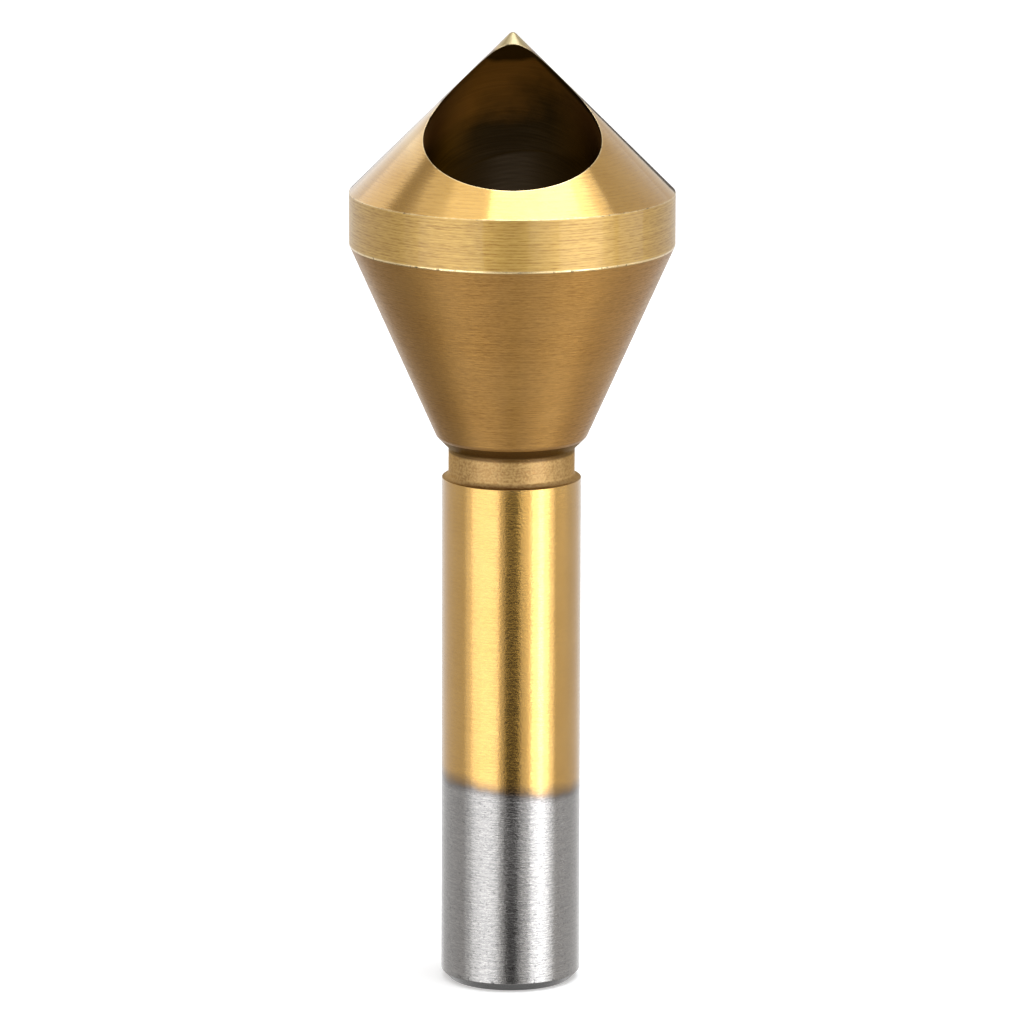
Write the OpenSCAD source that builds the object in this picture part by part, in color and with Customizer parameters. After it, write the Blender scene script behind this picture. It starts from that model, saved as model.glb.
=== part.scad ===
// Countersink bit with one slanted chip hole, turned from one bar of steel.
// It stands along +Z on the flat end of its shank, with the cutting point on top.
// The chip hole opens at the front, on the -Y side. Millimetres and degrees.

/* [Shank] */
// Diameter of the shank, where the chuck grips
shank_d = 12; // [12:0.25:14]
// Length of the shank, from its flat end to the shoulder under the neck
shank_len = 44.5; // [30:0.5:80]
// Width of the 45 degree chamfer round the end of the shank
shank_chamfer = 0.75; // [0.3:0.05:1.5]

/* [Neck] */
// Diameter of the relief neck between the shank and the head
neck_d = 10.9; // [9:0.1:10.9]
// Length of the neck, from the shoulder to the underside of the collar
neck_len = 2.6; // [1.5:0.1:8]
// Radius of the fillet at the root of the neck, against the shoulder
neck_fillet = 0.5; // [0.2:0.05:0.5]
// Radius of the fillet at the top of the neck, under the collar
collar_fillet = 0.3; // [0.1:0.05:0.6]

/* [Head] */
// Diameter of the head over its cylindrical land
head_d = 28; // [26.5:0.5:32]
// Height of the cylindrical land
land_h = 4.5; // [3.5:0.25:9]
// Radius of the broken edge between the land and the back taper
land_round = 0.15; // [0.05:0.05:0.5]
// Height of the back taper, from the collar up to the land
taper_len = 16.75; // [16:0.25:26]
// Diameter of the collar where the back taper ends
collar_d = 13; // [12.5:0.1:14]
// Angle between the underside of the collar and the tool's axis
collar_angle = 45; // [30:5:60]
// Radius that rounds the corner of the collar
collar_round = 0.8; // [0.2:0.1:1.5]

/* [Cutting cone] */
// Included angle of the cutting cone
cone_angle = 90; // [82:1:100]
// Radius of the rounded point
point_round = 0.25; // [0.1:0.05:0.4]

/* [Chip hole] */
// Diameter of the chip hole
chip_hole_d = 15.2; // [12:0.2:15.8]
// Height of the solid point that is left above the chip hole
point_h = 1.05; // [0.7:0.05:1.3]
// How much steeper the chip hole runs than the far side of the cutting cone
chip_hole_dip = 3; // [1:0.5:6]

/* [Hidden] */
$fn = 144;

shank_r = shank_d / 2;
neck_r = neck_d / 2;
head_r = head_d / 2;
collar_r = collar_d / 2;
half_cone = cone_angle / 2;

// Heights along the axis, from the flat end of the shank up
neck_top_z = shank_len + neck_len;
collar_z = neck_top_z + (collar_r - neck_r) / tan(collar_angle);
land_z = collar_z + taper_len;
cone_z = land_z + land_h;
apex_z = cone_z + head_r / tan(half_cone);

// Corners of the half section as [radius, height], in order up the tool
end_face = [shank_r - shank_chamfer, 0];
end_corner = [shank_r, shank_chamfer];
shoulder = [shank_r, shank_len];
neck_root = [neck_r, shank_len];
neck_top = [neck_r, neck_top_z];
collar = [collar_r, collar_z];
land_foot = [head_r, land_z];
land_head = [head_r, cone_z];
apex = [0, apex_z];
land_head_far_side = [-head_r, cone_z];

// The chip hole's ceiling starts point_h below the apex, on the front of the cone
chip_hole_tilt = half_cone - chip_hole_dip;
ceiling_y = -point_h * tan(half_cone);
ceiling_z = apex_z - point_h;
chip_hole_len = 3 * head_d;

function unit(v) = v / norm(v);

// The sliver between a corner and the arc that rounds it. Taken away it rounds an
// outer corner, and added it fills an inner one. It reaches past the corner as far
// as the arc's centre lies in front of it, so none of its sides lies on the section's.
module corner_sliver(before, corner, after, radius) {
    to_before = unit(before - corner);
    to_after = unit(after - corner);
    half_angle = acos(to_before * to_after) / 2;
    touch = radius / tan(half_angle);
    centre = corner + unit(to_before + to_after) * radius / sin(half_angle);
    first_touch = corner + to_before * touch;
    last_touch = corner + to_after * touch;
    difference() {
        polygon([
            centre,
            2 * last_touch - centre,
            2 * corner - centre,
            2 * first_touch - centre
        ]);
        translate(centre) circle(radius);
    }
}

// Half section of the bar with all its corners sharp
module sharp_section() {
    polygon([
        [0, 0],
        end_face,
        end_corner,
        shoulder,
        neck_root,
        neck_top,
        collar,
        land_foot,
        land_head,
        apex
    ]);
}

// Half section as it leaves the lathe. The shoulder and the edge between the land
// and the cone stay sharp.
module turned_section() {
    difference() {
        union() {
            sharp_section();
            corner_sliver(shoulder, neck_root, neck_top, neck_fillet);
            corner_sliver(neck_root, neck_top, collar, collar_fillet);
        }
        corner_sliver(neck_top, collar, land_foot, collar_round);
        corner_sliver(collar, land_foot, land_head, land_round);
        corner_sliver(land_head, apex, land_head_far_side, point_round);
    }
}

// The bore for the chips. It slants down from the front of the cone to the back
// taper, and its edge on the cone is the cutting edge.
module chip_hole() {
    translate([0, ceiling_y, ceiling_z])
        rotate([chip_hole_tilt, 0, 0])
            translate([0, -chip_hole_d / 2, 0])
                cylinder(h = chip_hole_len, d = chip_hole_d, center = true);
}

module countersink_bit() {
    color("goldenrod")
        difference() {
            rotate_extrude() turned_section();
            chip_hole();
        }
}

countersink_bit();
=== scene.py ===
import math

import bpy
import numpy as np
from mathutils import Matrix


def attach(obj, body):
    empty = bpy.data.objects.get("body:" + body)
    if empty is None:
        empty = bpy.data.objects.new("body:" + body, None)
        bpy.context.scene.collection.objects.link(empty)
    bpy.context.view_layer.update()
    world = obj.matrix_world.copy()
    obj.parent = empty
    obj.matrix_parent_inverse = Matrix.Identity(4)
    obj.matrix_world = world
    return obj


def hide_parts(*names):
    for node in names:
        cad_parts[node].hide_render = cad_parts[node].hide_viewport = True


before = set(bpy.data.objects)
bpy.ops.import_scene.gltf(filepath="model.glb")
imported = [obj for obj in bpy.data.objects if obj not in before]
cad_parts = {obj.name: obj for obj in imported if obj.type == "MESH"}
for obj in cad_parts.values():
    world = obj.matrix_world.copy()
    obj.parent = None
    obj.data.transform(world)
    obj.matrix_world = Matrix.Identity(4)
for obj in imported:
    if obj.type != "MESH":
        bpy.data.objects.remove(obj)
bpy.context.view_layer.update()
print("frame loaded:", ", ".join(sorted(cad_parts)))

millimetre = 0.001

# The turned bar's own sizes, in millimetres, and how finely its surface is divided
turnedBar = {
    "shankRadius": 6.0,
    "shankLength": 44.5,
    "chamfer": 0.75,
    "neckRadius": 5.45,
    "neckLength": 2.6,
    "collarRadius": 6.5,
    "taperHeight": 16.75,
    "headRadius": 14.0,
    "landHeight": 4.5,
    "arcSteps": 6,
    "longestStep": 1.6,
    "extraSteps": 3,  # because the steps are shorter near both ends
    "columns": 88,  # steps of half a turn, front to back
    "weldWithin": 1e-5,
}
neckTop = turnedBar["shankLength"] + turnedBar["neckLength"]
collar = neckTop + turnedBar["collarRadius"] - turnedBar["neckRadius"]  # its underside slopes at 45 degrees
landFoot = collar + turnedBar["taperHeight"]
coneBase = landFoot + turnedBar["landHeight"]
apex = coneBase + turnedBar["headRadius"]  # the cone slopes at 45 degrees too

# Half section: radius, height and rounding of each corner, from the flat end up to the point
turnedBar["corners"] = [
    (0.0, 0.0, 0.0),
    (turnedBar["shankRadius"] - turnedBar["chamfer"], 0.0, 0.06),
    (turnedBar["shankRadius"], turnedBar["chamfer"], 0.06),
    (turnedBar["shankRadius"], turnedBar["shankLength"], 0.04),
    (turnedBar["neckRadius"], turnedBar["shankLength"], 0.5),
    (turnedBar["neckRadius"], neckTop, 0.3),
    (turnedBar["collarRadius"], collar, 0.8),
    (turnedBar["headRadius"], landFoot, 0.35),
    (turnedBar["headRadius"], coneBase, 0.05),
    (0.0, apex, 0.42),
]
turnedBar["footCorner"] = 7  # the corner between the back taper and the land
# Where the finishes of the shank, the neck and the back taper end
turnedBar["finishTops"] = (turnedBar["shankLength"] - 0.01, collar - 0.25, landFoot - 0.1)

# The chip hole falls from the front of the cone to the back taper
bore = {
    "radius": 7.6,
    "belowPoint": 1.05,  # its ceiling leaves the cone this far below the point
    "fall": math.radians(48.0),
    "middle": 11.0,  # a distance along it at which all of it is inside the bar
    "reach": {"front": -14.0, "back": 45.0},  # and two at which it is clear of the bar
    "lowest": 46.0,  # the hole stays above this height
    "halvings": 60,  # of the span in which a line leaves the bar
    "rimBreak": 0.07,  # the broken edge round both mouths
    "rimSteps": 5,
    "wallSteps": 40,
    "turnSteps": 84,  # steps of half a turn round the bore
}
bore["ceilingStart"] = (-bore["belowPoint"], apex - bore["belowPoint"])  # y and height
bore["along"] = np.array([0.0, math.cos(bore["fall"]), -math.sin(bore["fall"])])
bore["up"] = np.array([0.0, math.sin(bore["fall"]), math.cos(bore["fall"])])
bore["axisPoint"] = np.array([0.0, *bore["ceilingStart"]]) - bore["radius"] * bore["up"]


def unit(vector):
    return vector / np.linalg.norm(vector)


def straightRun(start, end, shape):
    # Rows from start to end without the two ends, closer together near the ends:
    # share = (1 - cos(pi * step / steps)) / 2. A row is radius, height and its outward normal.
    steps = math.ceil(np.linalg.norm(end - start) / shape["longestStep"]) + shape["extraSteps"]
    share = (1 - np.cos(np.pi * np.arange(1, steps) / steps)) / 2
    along = unit(end - start)
    rows = start + share[:, None] * (end - start)
    outward = np.broadcast_to((along[1], -along[0]), rows.shape)
    return np.hstack([rows, outward])


def roundedSection(shape):
    # A corner's arc touches both its sides: its centre lies on the bisector, rounding / sin(half
    # the corner's angle) away, and it starts rounding / tan(half the angle) before the corner.
    corners = np.array(shape["corners"])
    place, rounding = corners[:, :2], corners[:, 2]
    following = np.vstack([place[1:], place[-2] * (-1, 1)])
    runs = [np.array([[*place[0], 0.0, -1.0]])]
    start = place[0]
    for index in range(1, len(place)):
        toBefore = unit(place[index - 1] - place[index])
        toAfter = unit(following[index] - place[index])
        halfAngle = math.acos(toBefore @ toAfter) / 2
        touch = rounding[index] / math.tan(halfAngle)
        centre = place[index] + unit(toBefore + toAfter) * rounding[index] / math.sin(halfAngle)
        firstTouch = place[index] + toBefore * touch
        lastTouch = place[index] + toAfter * touch
        runs.append(straightRun(start, firstTouch, shape))
        firstAngle = math.atan2(*(firstTouch - centre)[::-1])
        lastAngle = math.atan2(*(lastTouch - centre)[::-1])
        turn = (lastAngle - firstAngle + math.pi) % (2 * math.pi) - math.pi
        if index == len(place) - 1:
            turn /= 2  # the point's arc ends on the axis
        angle = firstAngle + turn * np.linspace(0, 1, shape["arcSteps"] + 1)
        spoke = np.column_stack([np.cos(angle), np.sin(angle)])
        runs.append(np.hstack([centre + rounding[index] * spoke, math.copysign(1, turn) * spoke]))
        start = lastTouch
    rows = np.vstack(runs)
    rows[-1, 0] = 0.0  # the point lies exactly on the axis
    return rows


def boreLines(turn, radius, hole):
    # The starts of straight lines along the bore, at angles round it, and the directions from them
    # to its axis. Angle 0 is the ceiling, and it turns towards +X:
    # start = axis point + radius * (cos(turn) * up + sin(turn) * X).
    spoke = np.cos(turn)[:, None] * hole["up"] + np.sin(turn)[:, None] * np.array([1.0, 0.0, 0.0])
    return hole["axisPoint"] + radius * spoke, -spoke


def crossing(start, outside, rows, hole):
    # The distance at which each line leaves the turned bar, by halving the span between one that
    # is inside the bar and one that is outside it
    near = np.full(len(start), hole["middle"])
    far = np.full(len(start), outside)
    for _ in range(hole["halvings"]):
        middle = (near + far) / 2
        point = start + middle[:, None] * hole["along"]
        free = np.hypot(point[:, 0], point[:, 1]) > np.interp(point[:, 2], rows[:, 1], rows[:, 0])
        far = np.where(free, middle, far)
        near = np.where(free, near, middle)
    return (near + far) / 2


def mouthAngles(rows, shape, hole):
    # Angles round the bore for the lines along it: even steps, and those at which the back mouth
    # crosses the rows of the land's rounded foot. There r^2 + lift^2 - 2 r lift c sin(fall)
    # - (r c cos(fall))^2 = radius^2 gives c, the cosine of the angle at which the row ends.
    _, upY, upZ = hole["up"]
    _, axisY, axisZ = hole["axisPoint"]
    foot = np.array(shape["corners"][shape["footCorner"]])
    near = rows[np.hypot(*(rows[:, :2] - foot[:2]).T) < foot[2]]
    lift = -axisY * upY + (near[:, 1] - axisZ) * upZ
    square = (near[:, 0] * upZ) ** 2
    linear = 2 * near[:, 0] * lift * upY
    constant = near[:, 0] ** 2 + lift**2 - (hole["radius"] + hole["rimBreak"]) ** 2
    cosine = -(linear + np.sqrt(linear**2 + 4 * square * constant)) / (2 * square)
    across = near[:, 0] * np.sqrt(1 - cosine**2)
    onFoot = np.arctan2(across, lift - near[:, 0] * cosine * upY)
    return np.unique(np.concatenate([np.linspace(0, math.pi, hole["turnSteps"] + 1), onFoot]))


def mouthRows(edge, above, back):
    # The bar's rows through the points of a mouth's edge, from the lowest up. Each is radius,
    # height, normal, and the first and last angle of its turn.
    edge = edge[::-1]
    angle = np.arctan2(edge[:, 0], -edge[:, 1])
    angle[[0, -1]] = math.pi if back else 0.0  # both ends lie on the mirror plane
    radius, across, upward = (np.interp(edge[:, 2], above[:, 1], above[:, k]) for k in (0, 2, 3))
    limits = (0 * angle, angle) if back else (angle, 0 * angle + math.pi)
    return np.column_stack([radius, edge[:, 2], across, upward, *limits])


def barRows(rows, lower, upper):
    # Rows of the whole bar from the bottom up: full turns, and between them those of the mouths
    height = rows[:, 1]
    full = np.column_stack([rows, 0 * height, 0 * height + math.pi])
    between = (height > lower[-1, 1]) & (height < upper[0, 1])
    parts = [full[height < lower[0, 1]], lower, full[between], upper, full[height > upper[-1, 1]]]
    first = np.cumsum([0] + [len(part) for part in parts])
    topDown = np.arange(len(lower))[::-1]
    return np.vstack(parts), {"back": first[1] + topDown, "front": first[3] + topDown}


def barGrid(bar, columns):
    # From each row's radius r, height z and normal n, m, on even steps of its own turn a:
    # point = (r sin a, -r cos a, z), normal = (n sin a, -n cos a, m)
    angle = bar[:, 4:5] + (bar[:, 5:6] - bar[:, 4:5]) * np.linspace(0, 1, columns + 1)
    sine = np.where(angle == math.pi, 0.0, np.sin(angle))  # exactly 0 on the mirror plane
    cosine = np.cos(angle)
    even = np.ones_like(angle)
    points = np.stack([bar[:, 0:1] * sine, -bar[:, 0:1] * cosine, bar[:, 1:2] * even], axis=-1)
    normals = np.stack([bar[:, 2:3] * sine, -bar[:, 2:3] * cosine, bar[:, 3:4] * even], axis=-1)
    return points, normals


def rimStrip(barPoint, barNormal, sharp, wallPoint, wallNormal, steps):
    # The broken edge curves from the bar to the wall, drawn towards the sharp edge:
    # (1 - u)^2 * bar + 2 u (1 - u) * sharp + u^2 * wall. Its normals are square to its steps across
    # and along, and point the way that the bar's and the wall's do.
    u = np.linspace(0, 1, steps + 1)[None, :, None]
    points = (1 - u) ** 2 * barPoint[:, None] + 2 * u * (1 - u) * sharp[:, None] + u**2 * wallPoint[:, None]
    blend = (1 - u) * barNormal[:, None] + u * wallNormal[:, None]
    normals = np.cross(np.gradient(points, axis=1), np.gradient(points, axis=0))
    normals[[0, -1], :, 0] = 0.0  # the edge crosses the mirror plane squarely
    normals *= np.sign((normals * blend).sum(axis=2, keepdims=True))
    return points, normals / np.linalg.norm(normals, axis=2, keepdims=True)


def toolGrids(shape, hole):
    # Two grids for the right half of the tool: the bar, and the bore with the broken edges of its
    # two mouths, whose outer ends are the bar's own edge points. On the wall
    # point = the line's start + distance * along, in even steps from mouth to mouth.
    rows = roundedSection(shape)
    above = rows[rows[:, 1] > hole["lowest"]]
    turn = mouthAngles(rows, shape, hole)
    wideStart, _ = boreLines(turn, hole["radius"] + hole["rimBreak"], hole)
    wallStart, inward = boreLines(turn, hole["radius"], hole)
    edge, sharp, mouth = {}, {}, {}
    for side, outside in hole["reach"].items():
        edge[side] = wideStart + crossing(wideStart, outside, above, hole)[:, None] * hole["along"]
        mouth[side] = crossing(wallStart, outside, above, hole)
        sharp[side] = wallStart + mouth[side][:, None] * hole["along"]
    lower = mouthRows(edge["back"], above, True)
    upper = mouthRows(edge["front"], above, False)
    bar, edgeRows = barRows(rows, lower, upper)
    barPoints, barNormals = barGrid(bar, shape["columns"])

    first = mouth["front"][:, None] + hole["rimBreak"]
    last = mouth["back"][:, None] - hole["rimBreak"]
    ahead = first + (last - first) * np.linspace(0, 1, hole["wallSteps"] + 1)
    wall = wallStart[:, None] + ahead[..., None] * hole["along"]
    wallNormals = np.broadcast_to(inward[:, None], wall.shape)
    strips = {}
    for side, column in (("front", 0), ("back", -1)):
        onBar = barPoints[edgeRows[side], column]
        onBarNormal = barNormals[edgeRows[side], column]
        strips[side] = rimStrip(
            onBar, onBarNormal, sharp[side], wall[:, column], inward, hole["rimSteps"]
        )
    borePoints, boreNormals = (
        np.concatenate([strips["front"][k][:, :-1], inner, strips["back"][k][:, -2::-1]], axis=1)
        for k, inner in enumerate((wall, wallNormals))
    )
    return (barPoints, barNormals), (borePoints, boreNormals)


def gridCells(grid, mirrored):
    # Corner numbers of each cell of a grid, turned round in its mirror image
    rowCount, columnCount = grid.shape[:2]
    row, column = np.meshgrid(np.arange(rowCount - 1), np.arange(columnCount - 1), indexing="ij")
    corner = (row * columnCount + column).ravel()
    cells = np.column_stack([corner, corner + 1, corner + columnCount + 1, corner + columnCount])
    return cells[:, ::-1] if mirrored else cells


def cellFinishes(grid, isBar, shape, hole, finishes):
    # The bar's finish changes with the height, and the bore's broken edges are finished like the head
    rowCount, columnCount = grid.shape[:2]
    if isBar:
        height = (grid[:-1, 0, 2] + grid[1:, 0, 2]) / 2
        return np.repeat(np.searchsorted(shape["finishTops"], height), columnCount - 1)
    step = np.arange(columnCount - 1)
    onWall = (step >= hole["rimSteps"]) & (step < columnCount - 1 - hole["rimSteps"])
    return np.tile(np.where(onWall, finishes.index("bore"), finishes.index("head")), rowCount - 1)


def buildTool(name, shape, hole, materials):
    # Both grids and their mirror images, with their seams and the two poles closed
    points, normals, cells, finish = [], [], [], []
    count = 0
    for grid, gridNormals in toolGrids(shape, hole):
        for side in (1, -1):
            points.append(grid.reshape(-1, 3) * (side, 1, 1))
            normals.append(gridNormals.reshape(-1, 3) * (side, 1, 1))
            cells.append(gridCells(grid, side < 0) + count)
            finish.append(cellFinishes(grid, len(finish) < 2, shape, hole, list(materials)))
            count += grid.shape[0] * grid.shape[1]
    points, normals = np.vstack(points), np.vstack(normals)
    rounded = np.round(points / shape["weldWithin"]).astype(np.int64)
    _, kept, number = np.unique(rounded, axis=0, return_index=True, return_inverse=True)
    cells = number.ravel()[np.vstack(cells)]

    # A cell with two corners in one point is a triangle, and one with fewer than three is nothing
    real = cells != np.roll(cells, 1, axis=1)
    whole = real.sum(axis=1) > 2
    cells, real, finish = cells[whole], real[whole], np.concatenate(finish)[whole]
    sides = real.sum(axis=1)
    mesh = bpy.data.meshes.new(name)
    mesh.vertices.add(len(kept))
    mesh.loops.add(int(sides.sum()))
    mesh.polygons.add(len(cells))
    mesh.vertices.foreach_set("co", (points[kept] * millimetre).astype(np.float32).ravel())
    mesh.loops.foreach_set("vertex_index", cells[real].astype(np.int32))
    mesh.polygons.foreach_set("loop_start", (np.cumsum(sides) - sides).astype(np.int32))
    mesh.polygons.foreach_set("material_index", finish.astype(np.int32))
    mesh.update(calc_edges=True)
    mesh.polygons.foreach_set("use_smooth", np.ones(len(cells), bool))
    mesh.normals_split_custom_set_from_vertices(normals[kept].tolist())
    for material in materials.values():
        mesh.materials.append(material)
    tool = bpy.data.objects.new(name, mesh)
    bpy.context.scene.collection.objects.link(tool)
    print(f"{name}: {len(kept)} points, {int((sides - 2).sum())} triangles")
    return tool


# Node helpers. A value may be a number, a tuple or another node's output.
def feed(tree, socket, value):
    if isinstance(value, bpy.types.NodeSocket):
        tree.links.new(value, socket)
    else:
        socket.default_value = value


def addNode(tree, kind, inputs=(), **settings):
    node = tree.nodes.new(kind)
    for name, value in settings.items():
        setattr(node, name, value)
    for socket, value in dict(inputs).items():
        feed(tree, node.inputs[socket], value)
    return node


def maths(tree, operation, *values, clamp=False):
    inputs = dict(enumerate(values))
    return addNode(tree, "ShaderNodeMath", inputs, operation=operation, use_clamp=clamp).outputs[0]


def product(tree, *values):
    result = values[0]
    for value in values[1:]:
        result = maths(tree, "MULTIPLY", result, value)
    return result


def total(tree, *values):
    result = values[0]
    for value in values[1:]:
        result = maths(tree, "ADD", result, value)
    return result


def vectorMaths(tree, operation, *values):
    node = addNode(tree, "ShaderNodeVectorMath", dict(enumerate(values)), operation=operation)
    return node.outputs["Value" if operation == "LENGTH" else "Vector"]


def scaled(tree, vector, factor):
    inputs = {0: vector, "Scale": factor}
    return addNode(tree, "ShaderNodeVectorMath", inputs, operation="SCALE").outputs["Vector"]


def spread(tree, value, low, high, toLow=0.0, toHigh=1.0, smooth=False):
    inputs = {"Value": value, "From Min": low, "From Max": high, "To Min": toLow, "To Max": toHigh}
    kind = "SMOOTHSTEP" if smooth else "LINEAR"
    return addNode(tree, "ShaderNodeMapRange", inputs, interpolation_type=kind).outputs["Result"]


def fade(tree, value, start, end, share=1.0):
    # 0 at the start, rising smoothly to the share at the end
    return spread(tree, value, start, end, 0.0, share, smooth=True)


def band(tree, value, low, high, soft):
    # 1 between low and high, falling to 0 over soft outside them
    rise = fade(tree, value, low - soft, low)
    fall = spread(tree, value, high, high + soft, 1.0, 0.0, smooth=True)
    return product(tree, rise, fall)


def mixColours(tree, share, first, second):
    # Inputs 6 and 7 are the node's two colours, and output 2 is their mix
    inputs = {"Factor": share, 6: first, 7: second}
    return addNode(tree, "ShaderNodeMix", inputs, data_type="RGBA").outputs[2]


def mixNumbers(tree, share, first, second):
    # Inputs 2 and 3 are the node's two numbers, and output 0 is their mix
    inputs = {0: share, 2: first, 3: second}
    return addNode(tree, "ShaderNodeMix", inputs, data_type="FLOAT").outputs[0]


def noise(tree, place, size, detail, roughness):
    inputs = {"Vector": place, "Scale": 1.0 / size, "Detail": detail, "Roughness": roughness}
    return addNode(tree, "ShaderNodeTexNoise", inputs).outputs["Fac"]


def splitPlace(tree, place):
    return addNode(tree, "ShaderNodeSeparateXYZ", {0: place}).outputs


def startGroup(name, inputs, outputs):
    group = bpy.data.node_groups.new(name, "ShaderNodeTree")
    for label, kind, value in inputs:
        socket = group.interface.new_socket(label, in_out="INPUT", socket_type="NodeSocket" + kind)
        if value is not None:
            socket.default_value = value
    for label, kind in outputs:
        group.interface.new_socket(label, in_out="OUTPUT", socket_type="NodeSocket" + kind)
    source = group.nodes.new("NodeGroupInput")
    result = group.nodes.new("NodeGroupOutput")
    return group, source.outputs, result.inputs


def useGroup(tree, group, **inputs):
    node = tree.nodes.new("ShaderNodeGroup")
    node.node_tree = group
    for label, value in inputs.items():
        feed(tree, node.inputs[label], value)
    return node.outputs


linesLook = {
    "detail": 2.0, "roughness": 0.6,
    "streaks": (0.34, 0.66), "streakShare": 0.62,  # the span of the noise, and its share of the lines
    "broad": (0.36, 0.64), "broadShare": 0.38, "broadStretch": (0.16, 0.16, 0.7),
    "wander": 0.5,  # of the feed marks, in parts of a turn
    "markDepth": 0.6, "markLevel": 0.5,
    "span": (0.15, 0.85),
}


def buildTurningLines(look):
    # Lines round the axis Z: feed marks, a sine of Z with one wave a Pitch, and streaks, noise that is
    # stretched Length across and Thickness up. Regular is the share of the feed marks.
    group, given, result = startGroup(
        "turningLines",
        [("Place", "Vector", None), ("Pitch", "Float", 0.26), ("Thickness", "Float", 0.1),
         ("Length", "Float", 0.6), ("Regular", "Float", 0.4), ("Shift", "Float", 0.0)],
        [("Lines", "Float"), ("Height", "Float")],
    )
    flat = maths(group, "DIVIDE", 1.0, given["Length"])
    steep = maths(group, "DIVIDE", 1.0, given["Thickness"])
    scale = addNode(group, "ShaderNodeCombineXYZ", {"X": flat, "Y": flat, "Z": steep}).outputs[0]
    shifted = vectorMaths(group, "ADD", given["Place"], given["Shift"])
    short = vectorMaths(group, "MULTIPLY", shifted, scale)
    long = vectorMaths(group, "MULTIPLY", short, look["broadStretch"])
    streaks, broad = (
        spread(group, noise(group, place, 1.0, look["detail"], look["roughness"]), *look[span])
        for place, span in ((short, "streaks"), (long, "broad"))
    )
    turns = maths(group, "DIVIDE", splitPlace(group, given["Place"])["Z"], given["Pitch"])
    turns = total(group, turns, product(group, broad, look["wander"]))
    wave = maths(group, "SINE", product(group, turns, 2.0 * math.pi))
    depth = product(group, wave, streaks)
    marks = maths(group, "MULTIPLY_ADD", depth, look["markDepth"], look["markLevel"])
    mixed = total(
        group, product(group, streaks, look["streakShare"]), product(group, broad, look["broadShare"])
    )
    height = mixNumbers(group, given["Regular"], mixed, marks)
    group.links.new(height, result["Height"])
    group.links.new(spread(group, height, *look["span"]), result["Lines"])
    return group


wearAndHighlightLook = {
    "reach": 1.25, "raggedSize": 0.9, "raggedDetail": 3.0, "raggedRoughness": 0.7, "ragged": 4.0,
    "nickSize": 0.55, "nickDetail": 2.0, "nickRoughness": 0.6, "nicks": (0.6, 0.66),
}


def buildEdgeWearAndHighlight(look):
    # 1 on an edge and 0 a Width away from it, broken up by noise, and small nicks along it
    group, given, result = startGroup(
        "edgeWearAndHighlight",
        [("Place", "Vector", None), ("Distance", "Float", 1.0), ("Width", "Float", 0.2),
         ("Breakup", "Float", 0.5)],
        [("Mask", "Float"), ("Nicks", "Float")],
    )
    away = maths(group, "DIVIDE", maths(group, "ABSOLUTE", given["Distance"]), given["Width"])
    rough = noise(group, given["Place"], look["raggedSize"], look["raggedDetail"], look["raggedRoughness"])
    broken = product(group, maths(group, "SUBTRACT", rough, 0.5), given["Breakup"], look["ragged"])
    near = maths(group, "SUBTRACT", look["reach"], total(group, away, broken), clamp=True)
    group.links.new(near, result["Mask"])
    chips = noise(group, given["Place"], look["nickSize"], look["nickDetail"], look["nickRoughness"])
    group.links.new(product(group, spread(group, chips, *look["nicks"]), near), result["Nicks"])
    return group


mottleLook = {"cloudDetail": 3.0, "grainDetail": 1.0, "roughness": 0.5}


def buildMottle(look):
    # Slow changes of shade over the surface, Size across, and a grain, Grain across
    group, given, result = startGroup(
        "mottle",
        [("Place", "Vector", None), ("Size", "Float", 6.0), ("Grain", "Float", 0.15)],
        [("Clouds", "Float"), ("Grain", "Float")],
    )
    for label, source, detail in (("Clouds", "Size", "cloudDetail"), ("Grain", "Grain", "grainDetail")):
        place = scaled(group, given["Place"], maths(group, "DIVIDE", 1.0, given[source]))
        group.links.new(noise(group, place, 1.0, look[detail], look["roughness"]), result[label])
    return group


turningLines = buildTurningLines(linesLook)
edgeWearAndHighlight = buildEdgeWearAndHighlight(wearAndHighlightLook)
mottle = buildMottle(mottleLook)

# What several finishes share
coatingGold = (0.42, 0.238, 0.054, 1.0)
coatingDeep = (0.30, 0.15, 0.026, 1.0)
coatingPale = (0.52, 0.32, 0.10, 1.0)
# Pale for worn coating, and for painted highlights along edges
coatingWornAndHighlight = (0.80, 0.64, 0.36, 1.0)
# Dark brown for chips in the coating and for painted shade
chipAndShadeBrown = (0.05, 0.026, 0.009, 1.0)
nickShare = 0.75
cloudSpan = (0.35, 0.7)


def startMaterial(name, look):
    # A metal with its lines running round Z, and a thin clear sheen over it
    material = bpy.data.materials.new(name)
    material.use_nodes = True
    tree = material.node_tree
    shader = tree.nodes["Principled BSDF"]
    shader.inputs["Metallic"].default_value = 1.0
    shader.inputs["Anisotropic"].default_value = look["anisotropy"]
    shader.inputs["Anisotropic Rotation"].default_value = 0.25  # a quarter turn, to run round Z
    shader.inputs["Specular Tint"].default_value = look["edgeTint"]
    shader.inputs["Coat Weight"].default_value = look["coat"]
    shader.inputs["Coat Roughness"].default_value = look["coatRoughness"]
    shader.inputs["Coat IOR"].default_value = look["coatIor"]
    place = scaled(tree, addNode(tree, "ShaderNodeTexCoord").outputs["Object"], 1.0 / millimetre)
    return material, tree, shader, place


def finishMaterial(tree, shader, colour, roughness, height, depth):
    feed(tree, shader.inputs["Base Color"], colour)
    feed(tree, shader.inputs["Roughness"], roughness)
    inputs = {"Strength": 1.0, "Distance": depth * millimetre, "Height": height}
    bump = addNode(tree, "ShaderNodeBump", inputs)
    tree.links.new(bump.outputs["Normal"], shader.inputs["Normal"])


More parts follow.
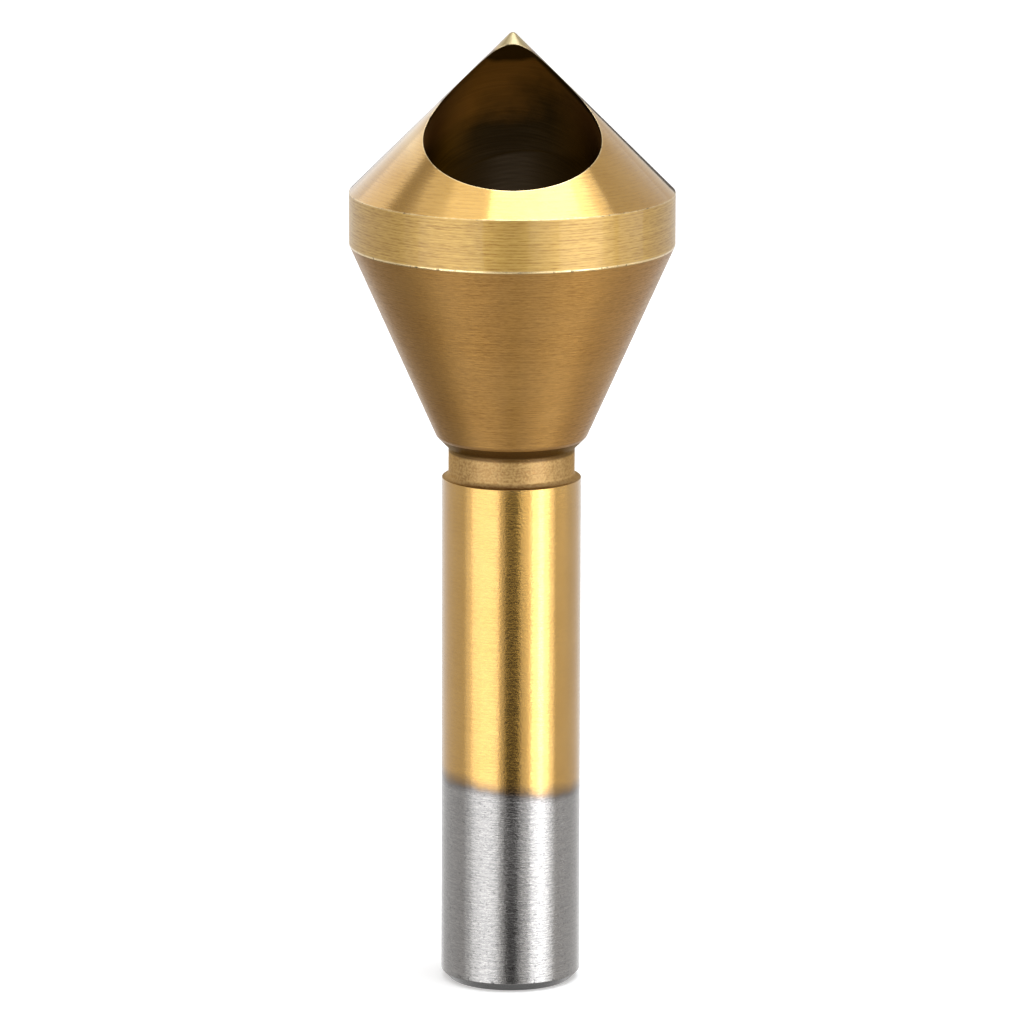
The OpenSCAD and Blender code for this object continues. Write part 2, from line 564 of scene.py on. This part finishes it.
def placeInBore(tree, place, hole):
    # The place seen along the bore: its Z runs up the bore's axis, its X stays the tool's X
    turnBack = math.pi / 2 - hole["fall"]
    _, y, z = hole["axisPoint"]
    cosine, sine = math.cos(turnBack), math.sin(turnBack)
    back = (0.0, -(cosine * y + sine * z), sine * y - cosine * z)
    inputs = {"Vector": place, "Location": back, "Rotation": (-turnBack, 0.0, 0.0)}
    return addNode(tree, "ShaderNodeMapping", inputs).outputs[0]


def fromAxis(tree, place):
    return vectorMaths(tree, "LENGTH", vectorMaths(tree, "MULTIPLY", place, (1.0, 1.0, 0.0)))


def rimDistance(tree, place, hole):
    # Distance from the surface of the bore: that from its axis, less its radius
    return maths(tree, "SUBTRACT", fromAxis(tree, placeInBore(tree, place, hole)), hole["radius"])


def roundLines(tree, look, place):
    return useGroup(
        tree, turningLines, Place=place, Pitch=look["pitch"], Thickness=look["thickness"],
        Length=look["length"], Regular=look["regular"], Shift=look["shift"],
    )


def lineRoughness(tree, lines, level, look):
    # A little smoother between the lines, and rougher in them
    change = spread(tree, lines["Lines"], 0.0, 1.0, -look["smoother"], look["rougher"])
    return total(tree, level, change)


def cloudOver(tree, clouds, colour, pale, share):
    return mixColours(tree, spread(tree, clouds, *cloudSpan, 0.0, share), colour, pale)


def wearAndHighlightEdge(tree, place, colour, distance, edge):
    # A pale line along an edge, for wear and on some edges a painted highlight, with dark nicks in it
    width, share, breakup = edge
    wearAndHighlight = useGroup(tree, edgeWearAndHighlight, Place=place, Distance=distance, Width=width, Breakup=breakup)
    colour = mixColours(tree, product(tree, wearAndHighlight["Mask"], share), colour, coatingWornAndHighlight)
    colour = mixColours(tree, product(tree, wearAndHighlight["Nicks"], nickShare), colour, chipAndShadeBrown)
    return colour, wearAndHighlight["Mask"]


# In these dictionaries a pair is where a change starts and where it ends, in millimetres where it
# is a place, and a pale edge line, for wear and painted highlight alike, is its width, its share and how
# broken up it is
headLook = {
    "coneRoughness": 0.12, "landRoughness": 0.5, "pointRoughness": 0.5, "footRoughness": 0.2,
    "smoother": 0.03, "rougher": 0.05,
    "anisotropy": 0.5, "edgeTint": (1.0, 1.0, 1.0, 1.0),
    "coat": 0.4, "coatRoughness": 0.12, "coatIor": 1.6, "depth": 0.009,
    "pitch": 0.262, "thickness": 0.075, "length": 0.8, "regular": 0.4, "shift": 0.0,
    # The land's gold is lighter than the cone's, as painted light in place of more fill from the front
    "land": (0.560, 0.364, 0.093, 1.0), "cloudSize": 5.0, "cloudShare": 0.25,
    "coneFrom": (coneBase - 0.1, coneBase + 0.1),
    "lineShare": (0.85, 0.6), "reliefShare": (1.0, 0.45),  # on the land and on the cone
    "lipRim": (4.5, 0.3), "lipAcross": (-6.5, -9.0), "lipHeight": (coneBase + 1.6, coneBase + 5.6),
    "lipShare": 0.3,
    "point": (0.34, 0.275, 0.14, 1.0), "pointFrom": (apex - 1.8, apex - 1.1), "pointShare": 0.85,
    "baseEdge": (0.06, 0.35, 0.9), "footHighlightEdge": (0.13, 0.8, 0.12), "rimEdge": (0.10, 0.6, 0.2),
    "flankShadeRim": (0.5, 0.2), "flankShadeHeight": (apex - 6.0, apex - 1.8), "flankShadeSoft": 0.5,
    "flankShadeShare": 0.85,
}


def headMaterial(look):
    # The land and the cutting cone, with worn edges, a painted highlight along the land's foot, a worn
    # patch behind the cutting lip, partly painted highlight, and painted shade at the mouth by the point
    material, tree, shader, place = startMaterial("coatedHead", look)
    across, _, height = splitPlace(tree, place)
    rim = rimDistance(tree, place, bore)
    lines = roundLines(tree, look, place)
    clouds = useGroup(tree, mottle, Place=place, Size=look["cloudSize"])["Clouds"]
    onCone = spread(tree, height, *look["coneFrom"])
    deep = product(tree, lines["Lines"], mixNumbers(tree, onCone, *look["lineShare"]))
    relief = product(tree, lines["Height"], mixNumbers(tree, onCone, *look["reliefShare"]))
    colour = mixColours(tree, deep, mixColours(tree, onCone, look["land"], coatingGold), coatingDeep)
    colour = cloudOver(tree, clouds, colour, coatingPale, look["cloudShare"])
    # A worn patch behind the cutting lip, partly a painted highlight at the cone's upper left
    lip = product(tree, fade(tree, rim, *look["lipRim"]), fade(tree, across, *look["lipAcross"]),
                  fade(tree, height, *look["lipHeight"]), look["lipShare"])
    colour = mixColours(tree, lip, colour, coatingWornAndHighlight)
    point = fade(tree, height, *look["pointFrom"], look["pointShare"])
    colour = mixColours(tree, point, colour, look["point"])
    aboveBase, aboveFoot = (maths(tree, "SUBTRACT", height, edge) for edge in (coneBase, landFoot))
    # Pale edge lines: wear at the cone's base, a painted highlight along the land's foot, and wear with a
    # painted highlight round the mouth
    colour, _ = wearAndHighlightEdge(tree, place, colour, aboveBase, look["baseEdge"])
    colour, footHighlight = wearAndHighlightEdge(tree, place, colour, aboveFoot, look["footHighlightEdge"])
    colour, _ = wearAndHighlightEdge(tree, place, colour, rim, look["rimEdge"])
    # Painted shade along the flanks of the mouth beside the point
    flankShade = product(tree, fade(tree, rim, *look["flankShadeRim"]),
                    band(tree, height, *look["flankShadeHeight"], look["flankShadeSoft"]), look["flankShadeShare"])
    colour = mixColours(tree, flankShade, colour, chipAndShadeBrown)
    level = mixNumbers(tree, onCone, look["landRoughness"], look["coneRoughness"])
    level = mixNumbers(tree, maths(tree, "MAXIMUM", point, flankShade), level, look["pointRoughness"])
    level = mixNumbers(tree, footHighlight, level, look["footRoughness"])
    roughness = lineRoughness(tree, lines, level, look)
    finishMaterial(tree, shader, colour, roughness, relief, look["depth"])
    return material


taperLook = {
    "roughness": 0.42, "smoother": 0.05, "rougher": 0.08,
    "anisotropy": 0.5, "edgeTint": (1.0, 1.0, 1.0, 1.0),
    "coat": 0.3, "coatRoughness": 0.25, "coatIor": 1.5, "depth": 0.016,
    "pitch": 0.2, "thickness": 0.08, "length": 0.6, "regular": 0.25, "shift": 31.0,
    "gold": (0.463, 0.242, 0.058, 1.0), "deep": (0.26, 0.126, 0.025, 1.0), "lineShare": 0.9,
    "pale": (0.463, 0.271, 0.087, 1.0), "cloudSize": 7.0, "cloudShare": 0.35,
    "rimEdge": (0.12, 0.7, 0.3),
}


def taperMaterial(look):
    # Browner than the head and rougher, with the rim of the chip hole worn
    material, tree, shader, place = startMaterial("coatedTaper", look)
    lines = roundLines(tree, look, place)
    clouds = useGroup(tree, mottle, Place=place, Size=look["cloudSize"])["Clouds"]
    colour = mixColours(tree, product(tree, lines["Lines"], look["lineShare"]), look["gold"], look["deep"])
    colour = cloudOver(tree, clouds, colour, look["pale"], look["cloudShare"])
    colour, _ = wearAndHighlightEdge(tree, place, colour, rimDistance(tree, place, bore), look["rimEdge"])
    roughness = lineRoughness(tree, lines, look["roughness"], look)
    finishMaterial(tree, shader, colour, roughness, lines["Height"], look["depth"])
    return material


neckLook = {
    "roughness": 0.5, "smoother": 0.08, "rougher": 0.08, "roughFrom": (0.3, 0.7),
    "anisotropy": 0.2, "edgeTint": (0.9, 0.7, 0.42, 1.0),
    "coat": 0.2, "coatRoughness": 0.25, "coatIor": 1.5, "depth": 0.03,
    "pitch": 0.3, "thickness": 0.16, "length": 0.5, "regular": 0.1, "shift": 57.0,
    "grain": 0.2, "grainShare": 0.7, "lineShare": 0.3,
    "pale": (0.47, 0.30, 0.115, 1.0), "deep": (0.30, 0.17, 0.058, 1.0), "paleFrom": (0.38, 0.62),
    # A painted shade colour, for under the collar and at the root
    "paintedShade": (0.12, 0.06, 0.014, 1.0), "shadeUnderCollar": (neckTop - 0.45, neckTop - 0.2),
    "shadeAtRoot": (turnedBar["shankLength"] + 0.5, turnedBar["shankLength"] + 0.15), "rootShadeShare": 0.4,
}


def neckMaterial(look):
    # Grainy, with painted shade under the collar and at the root
    material, tree, shader, place = startMaterial("coatedNeck", look)
    height = splitPlace(tree, place)["Z"]
    lines = roundLines(tree, look, place)
    grain = useGroup(tree, mottle, Place=place, Grain=look["grain"])["Grain"]
    shade = total(
        tree, product(tree, grain, look["grainShare"]), product(tree, lines["Height"], look["lineShare"])
    )
    colour = mixColours(tree, spread(tree, shade, *look["paleFrom"]), look["deep"], look["pale"])
    # Painted shade in the groove under the collar and at the neck's root
    shadeUnder = fade(tree, height, *look["shadeUnderCollar"])
    root = fade(tree, height, *look["shadeAtRoot"], look["rootShadeShare"])
    colour = mixColours(tree, maths(tree, "MAXIMUM", shadeUnder, root), colour, look["paintedShade"])
    smooth, rough = look["roughness"] - look["smoother"], look["roughness"] + look["rougher"]
    roughness = spread(tree, shade, *look["roughFrom"], smooth, rough)
    finishMaterial(tree, shader, colour, roughness, shade, look["depth"])
    return material


shankLook = {
    "roughness": 0.21, "smoother": 0.04, "rougher": 0.06,
    "anisotropy": 0.4, "edgeTint": (1.0, 1.0, 1.0, 1.0),
    "coat": 0.5, "coatRoughness": 0.15, "coatIor": 1.6, "depth": 0.009,
    "pitch": 0.3, "thickness": 0.09, "length": 0.45, "regular": 0.05, "shift": 11.0,
    "cloudSize": 4.0, "cloudShare": 0.2, "goldLineShare": 0.25,
    "goldLines": 0.25, "goldGrain": 0.8, "steelGrain": 0.68, "grain": 0.22,
    "steel": (0.260, 0.246, 0.234, 1.0), "steelDeep": (0.19, 0.183, 0.178, 1.0), "steelLineShare": 0.9,
    "speck": (0.06, 0.057, 0.055, 1.0), "speckFrom": (0.62, 0.72), "speckShare": 0.4,
    "coatingEnd": 17.75, "lean": 0.095, "fringe": 0.32,
    "waver": 1.1, "waverSize": 3.2, "waverDetail": 3.0, "waverRoughness": 0.55,
    "tint": (0.07, 0.05, 0.04, 1.0), "tintBelow": 0.832, "tintAbove": 1.152, "tintShare": 0.65,
    # The chamfer's dark colour is painted shade
    "scale": (0.036, 0.034, 0.032, 1.0), "chamferShadeShare": 0.85, "chamferShadeMetal": 0.2, "coatEnd": 0.5,
    "chamferShadeFrom": (turnedBar["chamfer"] - 0.06, turnedBar["chamfer"] + 0.02),
    "chamferWidth": 0.35, "chamferBreakup": 0.7, "chamferNicks": 0.85,
}


def shankMaterial(look):
    # Coated down to a wavering line, then bare ground steel, with a dark tint along the line and
    # painted shade on the chamfer
    material, tree, shader, place = startMaterial("groundShank", look)
    across, _, height = splitPlace(tree, place)
    lines = roundLines(tree, look, place)
    shade = useGroup(tree, mottle, Place=place, Size=look["cloudSize"], Grain=look["grain"])
    gold = mixColours(tree, product(tree, lines["Lines"], look["goldLineShare"]), coatingGold, coatingDeep)
    gold = cloudOver(tree, shade["Clouds"], gold, coatingPale, look["cloudShare"])
    deep = product(tree, lines["Lines"], look["steelLineShare"])
    steel = mixColours(tree, deep, look["steel"], look["steelDeep"])
    specks = spread(tree, shade["Grain"], *look["speckFrom"], 0.0, look["speckShare"])
    steel = mixColours(tree, specks, steel, look["speck"])

    waver = noise(tree, place, look["waverSize"], look["waverDetail"], look["waverRoughness"])
    waver = product(tree, maths(tree, "SUBTRACT", waver, 0.5), look["waver"])
    lean = maths(tree, "MULTIPLY_ADD", across, look["lean"], -look["coatingEnd"])
    above = total(tree, height, waver, lean)
    coated = fade(tree, above, -look["fringe"], look["fringe"])
    colour = mixColours(tree, coated, steel, gold)
    fromAbove = spread(tree, above, 0.0, look["tintAbove"], 1.0, 0.0, smooth=True)
    tint = product(tree, fade(tree, above, -look["tintBelow"], 0.0), fromAbove, look["tintShare"])
    colour = mixColours(tree, tint, colour, look["tint"])

    # Painted shade on the chamfer: a dark colour, less metal and less coat
    onChamfer = spread(tree, height, *look["chamferShadeFrom"], look["chamferShadeShare"], 0.0)
    colour = mixColours(tree, onChamfer, colour, look["scale"])
    feed(tree, shader.inputs["Metallic"], spread(tree, onChamfer, 0.0, 1.0, 1.0, look["chamferShadeMetal"]))
    coat = spread(tree, onChamfer, 0.0, look["coatEnd"], look["coat"], 0.0)
    feed(tree, shader.inputs["Coat Weight"], coat)
    fromEdge = maths(tree, "SUBTRACT", height, turnedBar["chamfer"])
    edge = useGroup(tree, edgeWearAndHighlight, Place=place, Distance=fromEdge, Width=look["chamferWidth"],
                    Breakup=look["chamferBreakup"])
    colour = mixColours(tree, product(tree, edge["Nicks"], look["chamferNicks"]), colour, look["speck"])

    fine = product(tree, lines["Height"], look["goldLines"])
    onSteel = maths(tree, "MULTIPLY_ADD", shade["Grain"], look["steelGrain"], lines["Height"])
    onGold = maths(tree, "MULTIPLY_ADD", shade["Grain"], look["goldGrain"], fine)
    relief = mixNumbers(tree, coated, onSteel, onGold)
    roughness = lineRoughness(tree, lines, look["roughness"], look)
    finishMaterial(tree, shader, colour, roughness, relief, look["depth"])
    return material


boreLook = {
    "roughness": 0.42, "smoother": 0.06, "rougher": 0.08,
    "anisotropy": 0.0, "edgeTint": (0.72, 0.55, 0.38, 1.0),
    "coat": 0.0, "coatRoughness": 0.3, "coatIor": 1.5, "depth": 0.006,
    "pitch": 0.6, "thickness": 0.14, "length": 3.0, "regular": 0.15, "shift": 0.0,
    "cloudSize": 4.0, "lineShare": 0.4,
    # The hole's dark colours are painted shade
    "shadeDark": (0.024, 0.018, 0.0125, 1.0), "shadeDarkDeep": (0.017, 0.0125, 0.0095, 1.0),
    "warm": (0.30, 0.13, 0.028, 1.0), "warmDeep": (0.22, 0.095, 0.019, 1.0),
    "warmFrom": (apex - 9.9, apex - 3.4), "warmLean": -0.42, "warmWaver": 6.0,
    "warmHeight": (apex - 11.1, apex - 8.6),
    "ring": -14.8, "ringLean": 0.234, "ringWidth": 0.15, "ringShare": 0.85,  # along the bore
    "far": (0.040, 0.031, 0.023, 1.0), "farShadeDim": (0.019, 0.0145, 0.0105, 1.0), "farFrom": (0.0, -0.4),
    "dimFrom": (0.5, 3.2), "markTurn": 9.0, "marks": (-0.4, 1.0), "markShare": (0.7, 1.0),
    "lip": (0.42, 0.21, 0.06, 1.0), "lipInside": (5.0, 0.5), "lipAcross": (3.0, 6.4),
    "lipHeight": (apex - 11.4, apex - 3.9), "lipSoft": 1.5, "lipShare": 0.85,
    # Near black for the tool's ring and for painted shade on the flanks and under the point
    "ringAndShadeBlack": (0.018, 0.012, 0.006, 1.0),
    "flankShadeInside": (0.75, 0.3), "flankShadeAcross": (-0.5, 1.5), "flankShadeShare": (0.35, 0.9),
    "flankShadeHeight": (apex - 9.4, apex + 0.6), "flankShadeSoft": 1.0,
    "shadeUnderWaver": 1.6, "shadeUnderFrom": (apex - 2.85, apex - 2.35), "shadeUnderShare": 0.85,
}


def boreMaterial(look):
    # Brown where the coating reached in and painted shade below it, painted shade near black under the
    # point and along the flanks of the mouth, with the ring that the tool left and fine marks beyond it
    material, tree, shader, place = startMaterial("boredWall", look)
    across, _, height = splitPlace(tree, place)
    offCentre = maths(tree, "ABSOLUTE", across)
    inBore = placeInBore(tree, place, bore)
    lines = roundLines(tree, look, inBore)
    clouds = useGroup(tree, mottle, Place=inBore, Size=look["cloudSize"])["Clouds"]
    clouds = maths(tree, "SUBTRACT", clouds, 0.5)

    fine = product(tree, lines["Lines"], look["lineShare"])
    warm = mixColours(tree, fine, look["warm"], look["warmDeep"])
    # The dark of the hole's inside is painted shade
    shadeDark = mixColours(tree, fine, look["shadeDark"], look["shadeDarkDeep"])
    leaning = maths(tree, "MULTIPLY_ADD", across, look["warmLean"], height)
    leaning = maths(tree, "MULTIPLY_ADD", clouds, look["warmWaver"], leaning)
    warmShare = product(tree, fade(tree, leaning, *look["warmFrom"]), fade(tree, height, *look["warmHeight"]))
    colour = mixColours(tree, warmShare, shadeDark, warm)

    along = splitPlace(tree, inBore)["Z"]
    fromRing = maths(tree, "MULTIPLY_ADD", across, -look["ringLean"], along)
    fromRing = total(tree, fromRing, -look["ring"])
    toRing = maths(tree, "ABSOLUTE", fromRing)
    ring = spread(tree, toRing, 0.0, look["ringWidth"], look["ringShare"], 0.0)
    marks = maths(tree, "SINE", product(tree, fromRing, look["markTurn"]))
    marks = spread(tree, marks, *look["marks"], *look["markShare"])
    # Beyond the ring the painted shade is a little lighter, and darker away from the middle
    beyond = product(tree, fade(tree, fromRing, *look["farFrom"]), marks)
    far = mixColours(tree, fade(tree, offCentre, *look["dimFrom"]), look["far"], look["farShadeDim"])
    colour = mixColours(tree, beyond, colour, far)

    # Inside the cone's surface height and radius add up to less than the height of its apex
    inside = maths(tree, "SUBTRACT", apex, total(tree, height, fromAxis(tree, place)))
    lip = product(tree, fade(tree, inside, *look["lipInside"]),
                  band(tree, height, *look["lipHeight"], look["lipSoft"]),
                  fade(tree, offCentre, *look["lipAcross"]), look["lipShare"])
    colour = mixColours(tree, lip, colour, look["lip"])
    # Painted shade along the flanks of the mouth and under the point, in the ring's black
    flankShade = product(tree, fade(tree, inside, *look["flankShadeInside"]),
                    band(tree, height, *look["flankShadeHeight"], look["flankShadeSoft"]),
                    spread(tree, across, *look["flankShadeAcross"], *look["flankShadeShare"]))
    wavering = total(tree, height, product(tree, clouds, look["shadeUnderWaver"]))
    shadeUnder = product(tree, spread(tree, wavering, *look["shadeUnderFrom"]), look["shadeUnderShare"])
    ringAndShadeBlack = maths(tree, "MAXIMUM", maths(tree, "MAXIMUM", flankShade, shadeUnder), ring)
    colour = mixColours(tree, ringAndShadeBlack, colour, look["ringAndShadeBlack"])
    roughness = lineRoughness(tree, lines, look["roughness"], look)
    finishMaterial(tree, shader, colour, roughness, lines["Height"], look["depth"])
    return material


# A finish is counted by its place here: those of the bar from the bottom up, then the bore's
materials = {
    "shank": shankMaterial(shankLook),
    "neck": neckMaterial(neckLook),
    "taper": taperMaterial(taperLook),
    "head": headMaterial(headLook),
    "bore": boreMaterial(boreLook),
}
print("materials:", ", ".join(material.name for material in materials.values()))

body = buildTool("countersinkBody", turnedBar, bore, materials)
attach(body, "root")
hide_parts("countersink_bit")

# The studio, in metres. Directions round the tool are in degrees from the camera's side, to the right.
studio = {
    "floorSize": 8.0,
    "floorColour": (0.935, 0.895, 0.855, 1.0), "roughness": 0.9,
    "floorLift": 0.42, "farLift": 0.75, "liftFrom": 0.4, "liftTo": 1.6,
    "fill": 0.45,
    "lowGlow": {"below": -0.75, "above": -0.45, "level": 0.9},
    "boxTint": (0.965, 1.0, 1.035),
    "overheadTint": (0.90, 1.0, 1.12),
    "cardColour": (0.01, 0.01, 0.01, 1.0), "cardTint": (1.0, 0.94, 0.84, 1.0),
    "boxes": {  # direction, distance, width, foot, top and glow
        "leftBox": (-44.2, 0.5, 0.447, -0.2, 0.03, 1.8),
        "leftEdge": (-74.5, 0.5, 0.11, -0.2, 0.03, 0.6),
        "innerEdge": (28.5, 0.5, 0.07, -0.2, 0.03, 0.35),
        "rightBox": (49.25, 0.5, 0.297, -0.2, 0.03, 3.0),
        "rightCore": (50.5, 0.49, 0.08, -0.105, -0.057, 5.2),
        "leftCore": (-41.0, 0.49, 0.20, -0.18, -0.11, 1.0),
        "outerEdge": (70.5, 0.5, 0.09, -0.2, 0.03, 1.3),
        "frontBox": (21.0, 0.5, 0.17, -0.02, 0.08, 2.9),
        "frontLeftBox": (-14.0, 0.5, 0.19, 0.01, 0.10, 1.1),
        "sideBox": (92.0, 0.5, 0.22, -0.03, 0.06, 1.5),
        "limbBox": (-137.0, 0.5, 0.20, 0.10, 0.55, 0.5),
        "farLimbBox": (-157.0, 0.5, 0.15, 0.10, 0.50, 0.2),
    },
    "overhead": {  # place, width, depth and glow
        "overheadBox": ((0.09, -0.02, 0.58), 0.36, 0.34, 4.1),
        "overheadStep": ((0.305, -0.02, 0.58), 0.07, 0.34, 2.4),
        "overheadEdge": ((0.375, -0.02, 0.58), 0.07, 0.34, 1.1),
        "overheadNear": ((-0.18, 0.0, 0.585), 0.18, 0.36, 0.6),
        "overheadFar": ((-0.245, 0.0, 0.59), 0.31, 0.38, 0.5),
    },
    "cards": {  # direction, distance, width, foot, top and shade
        "frontCard": (2.5, 0.95, 0.435, -0.45, -0.115, 0.0),
        "sideCard": (-108.0, 0.5, 0.95, -0.62, -0.19, 0.3),
        "dimCard": (112.0, 0.5, 0.9, -0.62, -0.19, 0.72),
        "nearCard": (2.0, 0.036, 0.010, -0.004, 0.008, 0.0),
        "lowCard": (4.0, 0.25, 0.10, -0.71, -0.28, 0.5),
        "highCard": (-119.3, 0.5, 0.08, 0.38, 0.76, 0.65),
        "edgeCard": (174.5, 0.9, 0.27, -0.05, 0.13, 0.12),
        "limbCard": (157.0, 0.9, 0.24, -0.05, 0.32, 0.88),
        "backCard": (180.0, 0.9, 0.26, -0.45, 0.0, 0.18),
    },
}


def placeRound(angle, distance, height):
    return (distance * math.sin(angle), -distance * math.cos(angle), height)


def buildLamp(name, place, width, height, glow, tint, rotation):
    lamp = bpy.data.lights.new(name, "AREA")
    lamp.color = tint
    lamp.shape = "RECTANGLE"
    lamp.size = width
    lamp.size_y = height
    lamp.energy = 4.0 * glow * width * height  # a lamp glows with its power / (4 * its area)
    lampObject = bpy.data.objects.new(name, lamp)
    lampObject.location = place
    lampObject.rotation_euler = rotation
    lampObject.visible_camera = False
    bpy.context.scene.collection.objects.link(lampObject)


def buildBox(name, direction, distance, width, foot, top, glow):
    # An upright lamp that faces the tool
    angle = math.radians(direction)
    place = placeRound(angle, distance, (top + foot) / 2)
    buildLamp(name, place, width, top - foot, glow, studio["boxTint"], (math.pi / 2, 0.0, angle))


def flatSheet(name, corners, material):
    mesh = bpy.data.meshes.new(name)
    mesh.from_pydata(corners, [], [(0, 1, 2, 3)])
    mesh.materials.append(material)
    sheet = bpy.data.objects.new(name, mesh)
    bpy.context.scene.collection.objects.link(sheet)
    return sheet


def glowingMaterial(name, colour, tint):
    # Matt, with a glow of this tint. Its strength is still to be set.
    material = bpy.data.materials.new(name)
    material.use_nodes = True
    shader = material.node_tree.nodes["Principled BSDF"]
    shader.inputs["Base Color"].default_value = colour
    shader.inputs["Roughness"].default_value = studio["roughness"]
    shader.inputs["Specular IOR Level"].default_value = 0.0
    shader.inputs["Emission Color"].default_value = tint
    return material, material.node_tree, shader.inputs["Emission Strength"]


def floorMaterial(look):
    # Pale and matt, and lighter to the camera, more so far off, so that it reads as white outside
    # the shadow
    material, tree, strength = glowingMaterial("paleFloor", look["floorColour"], (1.0, 1.0, 1.0, 1.0))
    seen = addNode(tree, "ShaderNodeLightPath").outputs["Is Camera Ray"]
    away = vectorMaths(tree, "LENGTH", addNode(tree, "ShaderNodeTexCoord").outputs["Object"])
    lift = spread(tree, away, look["liftFrom"], look["liftTo"], look["floorLift"], look["farLift"])
    feed(tree, strength, product(tree, seen, lift))
    return material


def buildCard(name, direction, distance, width, foot, top, shade):
    # A dark or grey card that only the metal sees
    angle = math.radians(direction)
    x, y, _ = placeRound(angle, distance, foot)
    halfX = math.cos(angle) * width / 2
    halfY = math.sin(angle) * width / 2
    material, _, strength = glowingMaterial(name, studio["cardColour"], studio["cardTint"])
    strength.default_value = shade
    sheet = flatSheet(name, [
        (x - halfX, y - halfY, foot), (x + halfX, y + halfY, foot),
        (x + halfX, y + halfY, top), (x - halfX, y - halfY, top),
    ], material)
    sheet.visible_camera = False
    sheet.visible_diffuse = False
    sheet.visible_shadow = False


def buildFloor(look):
    half = look["floorSize"] / 2
    corners = [(-half, -half, 0), (half, -half, 0), (half, half, 0), (-half, half, 0)]
    flatSheet("floor", corners, floorMaterial(look)).visible_glossy = False


def buildWorld(look):
    # White to the camera and in the metal, dimmer in the metal where it looks steeply down
    world = bpy.data.worlds.new("studioWorld")
    world.use_nodes = True
    tree = world.node_tree
    shader = tree.nodes["Background"]
    rays = addNode(tree, "ShaderNodeLightPath").outputs
    mirrored = maths(tree, "MAXIMUM", rays["Is Glossy Ray"], rays["Is Transmission Ray"])
    direction = addNode(tree, "ShaderNodeTexCoord").outputs["Generated"]
    upward = splitPlace(tree, direction)["Z"]
    low = look["lowGlow"]
    lower = spread(tree, upward, low["below"], low["above"], low["level"], 1.0, smooth=True)
    level = spread(tree, mirrored, 0.0, 1.0, look["fill"], lower)
    feed(tree, shader.inputs["Color"], (1.0, 1.0, 1.0, 1.0))
    feed(tree, shader.inputs["Strength"], maths(tree, "MAXIMUM", rays["Is Camera Ray"], level))
    bpy.context.scene.world = world


for name, box in studio["boxes"].items():
    buildBox(name, *box)
for name, lamp in studio["overhead"].items():
    buildLamp(name, *lamp, studio["overheadTint"], (0.0, 0.0, 0.0))
buildFloor(studio)
for name, card in studio["cards"].items():
    buildCard(name, *card)
buildWorld(studio)
print("studio: lamps, floor, cards and world")

# The camera looks down at the tool from the front with a long lens
view = {
    "distance": 0.7573, "down": math.radians(12.1519), "aimHeight": 0.0413252,
    "lens": 308.34, "sensor": 36.0, "roll": math.radians(0.165), "shift": 0.00056,
    "nearest": 0.05, "farthest": 50.0,
}


def buildCamera(look):
    # It aims at the tool's axis: y = -distance * cos(down), z = aim height + distance * sin(down)
    cameraData = bpy.data.cameras.new("camera")
    cameraData.lens = look["lens"]
    cameraData.sensor_width = look["sensor"]
    cameraData.shift_x = look["shift"]
    cameraData.clip_start = look["nearest"]
    cameraData.clip_end = look["farthest"]
    camera = bpy.data.objects.new("camera", cameraData)
    height = look["aimHeight"] + look["distance"] * math.sin(look["down"])
    camera.location = (0.0, -look["distance"] * math.cos(look["down"]), height)
    camera.rotation_mode = "ZYX"
    camera.rotation_euler = (math.pi / 2 - look["down"], 0.0, look["roll"])
    bpy.context.scene.collection.objects.link(camera)
    bpy.context.scene.camera = camera


buildCamera(view)
bpy.context.scene.view_settings.view_transform = "Standard"
print("camera placed")

bpy.context.view_layer.update()
